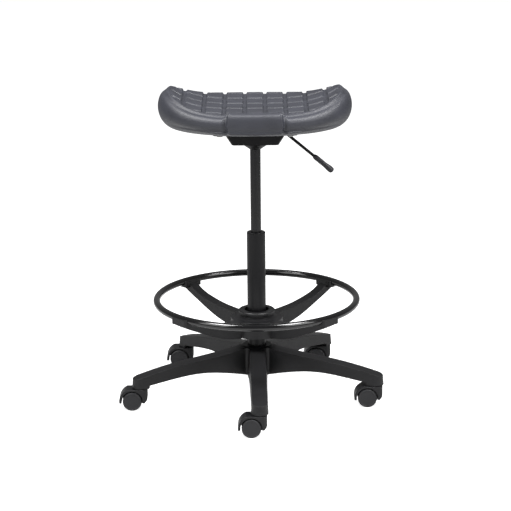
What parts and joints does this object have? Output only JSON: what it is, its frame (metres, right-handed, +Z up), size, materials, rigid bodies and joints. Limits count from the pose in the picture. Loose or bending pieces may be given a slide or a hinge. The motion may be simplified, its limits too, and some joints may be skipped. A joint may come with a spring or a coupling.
{
  "type": "drafting stool",
  "caption": "Backless drafting stool: contoured saddle seat on a gas lift, height-adjustable foot ring, star base on twin-wheel casters.",
  "frame": {"origin": "on the column's axis, at the floor that the casters stand on", "axes": "+Z up along the column, -Y towards the seat's front, +X towards the height lever"},
  "size_m": [0.707, 0.6482, 0.852],
  "materials": {
    "base_nylon": "fine-textured moulded glass-filled nylon",
    "caster_nylon": "satin moulded nylon",
    "wheel_nylon": "moulded nylon",
    "grip_plastic": "moulded plastic",
    "bush_plastic": "moulded acetal",
    "column_paint": "satin black powder coat",
    "cylinder_paint": "semi-gloss black",
    "ring_paint": "gloss black",
    "plate_paint": "semi-gloss black",
    "seat_skin": "self-skinned polyurethane foam, fine leather-like texture",
    "zinc_steel": "zinc plated",
    "bright_steel": "ground and polished",
    "buffer_rubber": "moulded",
    "board_wood": "plywood"
  },
  "bodies": {
    "base": {"star_base": "base_nylon", "column_tube": "column_paint", "guide_bush": "bush_plastic", "bearing_lower_race": "bright_steel", "bearing_cage": "bush_plastic", "bearing_balls": "bright_steel", "stem_sockets": "zinc_steel", "caster_stems": "zinc_steel", "grip_rings": "zinc_steel"},
    "rod": {"piston_rod": "bright_steel", "rod_clip": "zinc_steel", "rod_washer": "zinc_steel", "bearing_upper_race": "bright_steel", "rubber_buffer": "buffer_rubber", "piston": "bright_steel", "piston_seal": "buffer_rubber"},
    "seat": {"gas_cylinder": "cylinder_paint", "rod_guide": "bush_plastic", "rod_seal": "buffer_rubber", "valve_housing": "bush_plastic", "seat_plate": "plate_paint", "mechanism_pan": "plate_paint", "taper_socket": "plate_paint", "lever_bracket": "plate_paint", "lever_pivot": "zinc_steel", "seat_bolts": "zinc_steel", "bolt_washers": "zinc_steel", "seat_inserts": "zinc_steel", "seat_board": "board_wood", "seat_pad": "seat_skin"},
    "lever": {"lever_rod": "plate_paint", "lever_grip": "grip_plastic"},
    "release_pin": {"release_pin": "bright_steel"},
    "ring_sleeve": {"clamp_sleeve": "bush_plastic"},
    "foot_ring": {"ring_spider": "base_nylon", "foot_ring": "ring_paint", "ring_screws": "zinc_steel"},
    "caster_front": {"caster_front_hood": "caster_nylon", "caster_front_axle": "zinc_steel"},
    "caster_front_wheel_left": {"caster_front_wheel_left": "wheel_nylon"},
    "caster_front_wheel_right": {"caster_front_wheel_right": "wheel_nylon"},
    "caster_front_right": {"caster_front_right_hood": "caster_nylon", "caster_front_right_axle": "zinc_steel"},
    "caster_front_right_wheel_left": {"caster_front_right_wheel_left": "wheel_nylon"},
    "caster_front_right_wheel_right": {"caster_front_right_wheel_right": "wheel_nylon"},
    "caster_rear_right": {"caster_rear_right_hood": "caster_nylon", "caster_rear_right_axle": "zinc_steel"},
    "caster_rear_right_wheel_left": {"caster_rear_right_wheel_left": "wheel_nylon"},
    "caster_rear_right_wheel_right": {"caster_rear_right_wheel_right": "wheel_nylon"},
    "caster_rear_left": {"caster_rear_left_hood": "caster_nylon", "caster_rear_left_axle": "zinc_steel"},
    "caster_rear_left_wheel_left": {"caster_rear_left_wheel_left": "wheel_nylon"},
    "caster_rear_left_wheel_right": {"caster_rear_left_wheel_right": "wheel_nylon"},
    "caster_front_left": {"caster_front_left_hood": "caster_nylon", "caster_front_left_axle": "zinc_steel"},
    "caster_front_left_wheel_left": {"caster_front_left_wheel_left": "wheel_nylon"},
    "caster_front_left_wheel_right": {"caster_front_left_wheel_right": "wheel_nylon"}
  },
  "joints": [
    {"name": "seat_swivel", "type": "hinge", "parent": "base", "child": "rod", "pos_m": [0, 0, 0.07], "axis": [0, 0, 1], "continuous": true},
    {"name": "seat_height", "type": "slide", "parent": "rod", "child": "seat", "axis": [0, 0, 1], "range_m": [-0.21, 0]},
    {"name": "lever_lift", "type": "hinge", "parent": "seat", "child": "lever", "pos_m": [0.045, 0, 0.731], "axis": [0, -1, 0], "range_deg": [0, 4.2], "stiffness_Nm_per_rad": 10, "springref_deg": -2.86},
    {"name": "release_pin_press", "type": "slide", "parent": "seat", "child": "release_pin", "axis": [0, 0, -1], "range_m": [0, 0.0034]},
    {"name": "ring_height", "type": "slide", "parent": "base", "child": "ring_sleeve", "axis": [0, 0, 1], "range_m": [-0.01, 0.2]},
    {"name": "ring_twist", "type": "hinge", "parent": "ring_sleeve", "child": "foot_ring", "pos_m": [0, 0, 0.2], "axis": [0, 0, 1], "range_deg": [0, 30]},
    {"name": "caster_front_swivel", "type": "hinge", "parent": "base", "child": "caster_front", "pos_m": [0.00576, -0.32995, 0.05], "axis": [0, 0, 1], "continuous": true},
    {"name": "caster_front_wheel_left_spin", "type": "hinge", "parent": "caster_front", "child": "caster_front_wheel_left", "pos_m": [-0.01624, -0.32995, 0.0255], "axis": [0, 1, 0], "continuous": true},
    {"name": "caster_front_wheel_right_spin", "type": "hinge", "parent": "caster_front", "child": "caster_front_wheel_right", "pos_m": [-0.01624, -0.32995, 0.0255], "axis": [0, 1, 0], "continuous": true},
    {"name": "caster_front_right_swivel", "type": "hinge", "parent": "base", "child": "caster_front_right", "pos_m": [0.31558, -0.09648, 0.05], "axis": [0, 0, 1], "continuous": true},
    {"name": "caster_front_right_wheel_left_spin", "type": "hinge", "parent": "caster_front_right", "child": "caster_front_right_wheel_left", "pos_m": [0.29358, -0.09648, 0.0255], "axis": [0, 1, 0], "continuous": true},
    {"name": "caster_front_right_wheel_right_spin", "type": "hinge", "parent": "caster_front_right", "child": "caster_front_right_wheel_right", "pos_m": [0.29358, -0.09648, 0.0255], "axis": [0, 1, 0], "continuous": true},
    {"name": "caster_rear_right_swivel", "type": "hinge", "parent": "base", "child": "caster_rear_right", "pos_m": [0.18928, 0.27032, 0.05], "axis": [0, 0, 1], "continuous": true},
    {"name": "caster_rear_right_wheel_left_spin", "type": "hinge", "parent": "caster_rear_right", "child": "caster_rear_right_wheel_left", "pos_m": [0.16728, 0.27032, 0.0255], "axis": [0, 1, 0], "continuous": true},
    {"name": "caster_rear_right_wheel_right_spin", "type": "hinge", "parent": "caster_rear_right", "child": "caster_rear_right_wheel_right", "pos_m": [0.16728, 0.27032, 0.0255], "axis": [0, 1, 0], "continuous": true},
    {"name": "caster_rear_left_swivel", "type": "hinge", "parent": "base", "child": "caster_rear_left", "pos_m": [-0.1986, 0.26355, 0.05], "axis": [0, 0, 1], "continuous": true},
    {"name": "caster_rear_left_wheel_left_spin", "type": "hinge", "parent": "caster_rear_left", "child": "caster_rear_left_wheel_left", "pos_m": [-0.2206, 0.26355, 0.0255], "axis": [0, 1, 0], "continuous": true},
    {"name": "caster_rear_left_wheel_right_spin", "type": "hinge", "parent": "caster_rear_left", "child": "caster_rear_left_wheel_right", "pos_m": [-0.2206, 0.26355, 0.0255], "axis": [0, 1, 0], "continuous": true},
    {"name": "caster_front_left_swivel", "type": "hinge", "parent": "base", "child": "caster_front_left", "pos_m": [-0.31202, -0.10744, 0.05], "axis": [0, 0, 1], "continuous": true},
    {"name": "caster_front_left_wheel_left_spin", "type": "hinge", "parent": "caster_front_left", "child": "caster_front_left_wheel_left", "pos_m": [-0.33402, -0.10744, 0.0255], "axis": [0, 1, 0], "continuous": true},
    {"name": "caster_front_left_wheel_right_spin", "type": "hinge", "parent": "caster_front_left", "child": "caster_front_left_wheel_right", "pos_m": [-0.33402, -0.10744, 0.0255], "axis": [0, 1, 0], "continuous": true}
  ],
  "couplings": [
    {"joint": "release_pin_press", "follows": "lever_lift", "m_per_rad": 0.045}
  ]
}
